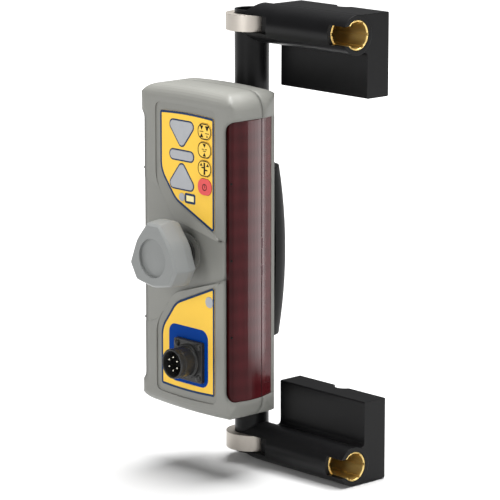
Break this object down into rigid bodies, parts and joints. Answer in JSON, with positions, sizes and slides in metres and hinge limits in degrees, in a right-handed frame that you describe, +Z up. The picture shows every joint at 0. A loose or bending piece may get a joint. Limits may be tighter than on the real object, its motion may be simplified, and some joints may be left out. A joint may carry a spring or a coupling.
{
  "type": "laser receiver",
  "caption": "Laser receiver with side windows, keypad and cable connector, clamped by a knob to a mast held between two magnetic swivel brackets.",
  "frame": {"origin": "on the mast axis, at the middle of its length", "axes": "+Z up along the mast, +X along the bracket arms towards their open ends, -Y towards the keypad side"},
  "size_m": [0.159, 0.1293, 0.3428],
  "materials": {
    "black_anodised": "black anodised, satin",
    "brass": "turned, bright",
    "magnet_plating": "nickel plated magnet face",
    "stainless": "brushed stainless",
    "zinc_steel": "zinc plated steel",
    "case_grey": "moulded warm grey, fine spark-eroded texture",
    "red_window": "dark red infrared window, glossy",
    "yellow_label": "printed polycarbonate label",
    "frosted_lens": "frosted lilac-grey lens",
    "red_key": "printed red key",
    "connector_black": "black-brown anodised connector shell",
    "black_plastic": "black glass-filled nylon",
    "pin_plating": "plated contact pins",
    "black_rubber": "black rubber",
    "circuit_board": "green circuit board",
    "battery_sleeve": "shrink sleeve",
    "knob_grey": "moulded cool grey"
  },
  "bodies": {
    "mast": {"mast": "black_anodised"},
    "upper_bracket": {"upper_arm": "black_anodised", "upper_plate": "black_anodised", "upper_socket_bush": "brass", "upper_magnets": "magnet_plating"},
    "upper_ring": {"upper_clamp_ring": "stainless"},
    "upper_nut": {"upper_clamp_nut": "zinc_steel"},
    "lower_bracket": {"lower_arm": "black_anodised", "lower_plate": "black_anodised", "lower_socket_bush": "brass", "lower_magnets": "magnet_plating"},
    "lower_ring": {"lower_clamp_ring": "stainless"},
    "lower_nut": {"lower_clamp_nut": "zinc_steel"},
    "knob": {"clamp_knob": "knob_grey", "knob_stud": "zinc_steel", "stud_circlip": "zinc_steel"},
    "jaw": {"clamp_jaw": "black_plastic", "jaw_pad": "black_rubber", "draw_rods": "zinc_steel", "clamp_yoke": "zinc_steel"},
    "deadband_key": {"deadband_key": "yellow_label"},
    "position_key": {"position_key": "yellow_label"},
    "mode_key": {"mode_key": "yellow_label"},
    "power_key": {"power_key": "red_key"},
    "receiver": {"front_housing": "case_grey", "rear_housing": "case_grey", "housing_gasket": "black_rubber", "housing_screws": "zinc_steel", "window_front_right": "red_window", "window_rear_right": "red_window", "window_front_left": "red_window", "window_rear_left": "red_window", "keypad_label": "yellow_label", "connector_label": "yellow_label", "down_arrow_lens": "frosted_lens", "level_bar_lens": "frosted_lens", "up_arrow_lens": "frosted_lens", "battery_lens": "frosted_lens", "status_lens": "frosted_lens", "connector_shell": "connector_black", "connector_insert": "black_plastic", "connector_pins": "pin_plating", "connector_screws": "connector_black", "connector_gasket": "black_rubber", "main_board": "circuit_board", "indicator_board": "circuit_board", "photocell_strip_right": "circuit_board", "photocell_strip_left": "circuit_board", "battery_pack": "battery_sleeve", "knob_bush": "black_plastic", "clamp_seat": "black_plastic", "seat_pad": "black_rubber"}
  },
  "joints": [
    {"name": "receiver_slide", "type": "slide", "parent": "mast", "child": "receiver", "axis": [0, 0, 1], "range_m": [-0.012, 0.022]},
    {"name": "upper_bracket_swivel", "type": "hinge", "parent": "mast", "child": "upper_bracket", "pos_m": [0, 0, 0.157], "axis": [0, 0, 1], "range_deg": [-25, 90]},
    {"name": "upper_nut_turn", "type": "hinge", "parent": "upper_bracket", "child": "upper_nut", "pos_m": [0.042, 0, 0.157], "axis": [1, 0, 0], "range_deg": [0, 360]},
    {"name": "upper_ring_draw", "type": "slide", "parent": "upper_bracket", "child": "upper_ring", "axis": [1, 0, 0], "range_m": [-0.0008, 0]},
    {"name": "lower_bracket_swivel", "type": "hinge", "parent": "mast", "child": "lower_bracket", "pos_m": [0, 0, -0.157], "axis": [0, 0, 1], "range_deg": [-25, 90]},
    {"name": "lower_nut_turn", "type": "hinge", "parent": "lower_bracket", "child": "lower_nut", "pos_m": [0.042, 0, -0.157], "axis": [1, 0, 0], "range_deg": [0, 360]},
    {"name": "lower_ring_draw", "type": "slide", "parent": "lower_bracket", "child": "lower_ring", "axis": [1, 0, 0], "range_m": [-0.0008, 0]},
    {"name": "knob_turn", "type": "hinge", "parent": "receiver", "child": "knob", "pos_m": [0, -0.084, -0.006], "axis": [0, -1, 0], "range_deg": [0, 1800]},
    {"name": "jaw_draw", "type": "slide", "parent": "receiver", "child": "jaw", "axis": [0, 1, 0], "range_m": [0, 0.01]},
    {"name": "deadband_press", "type": "slide", "parent": "receiver", "child": "deadband_key", "axis": [0, 1, 0], "range_m": [0, 0.0006], "stiffness_N_per_m": 1200, "springref_m": -0.001},
    {"name": "position_press", "type": "slide", "parent": "receiver", "child": "position_key", "axis": [0, 1, 0], "range_m": [0, 0.0006], "stiffness_N_per_m": 1200, "springref_m": -0.001},
    {"name": "mode_press", "type": "slide", "parent": "receiver", "child": "mode_key", "axis": [0, 1, 0], "range_m": [0, 0.0006], "stiffness_N_per_m": 1200, "springref_m": -0.001},
    {"name": "power_press", "type": "slide", "parent": "receiver", "child": "power_key", "axis": [0, 1, 0], "range_m": [0, 0.0006], "stiffness_N_per_m": 1200, "springref_m": -0.001}
  ],
  "couplings": [
    {"joint": "upper_nut_turn", "follows": "upper_ring_draw", "rad_per_m": -7854},
    {"joint": "lower_nut_turn", "follows": "lower_ring_draw", "rad_per_m": -7854},
    {"joint": "knob_turn", "follows": "jaw_draw", "rad_per_m": 3141.6}
  ]
}
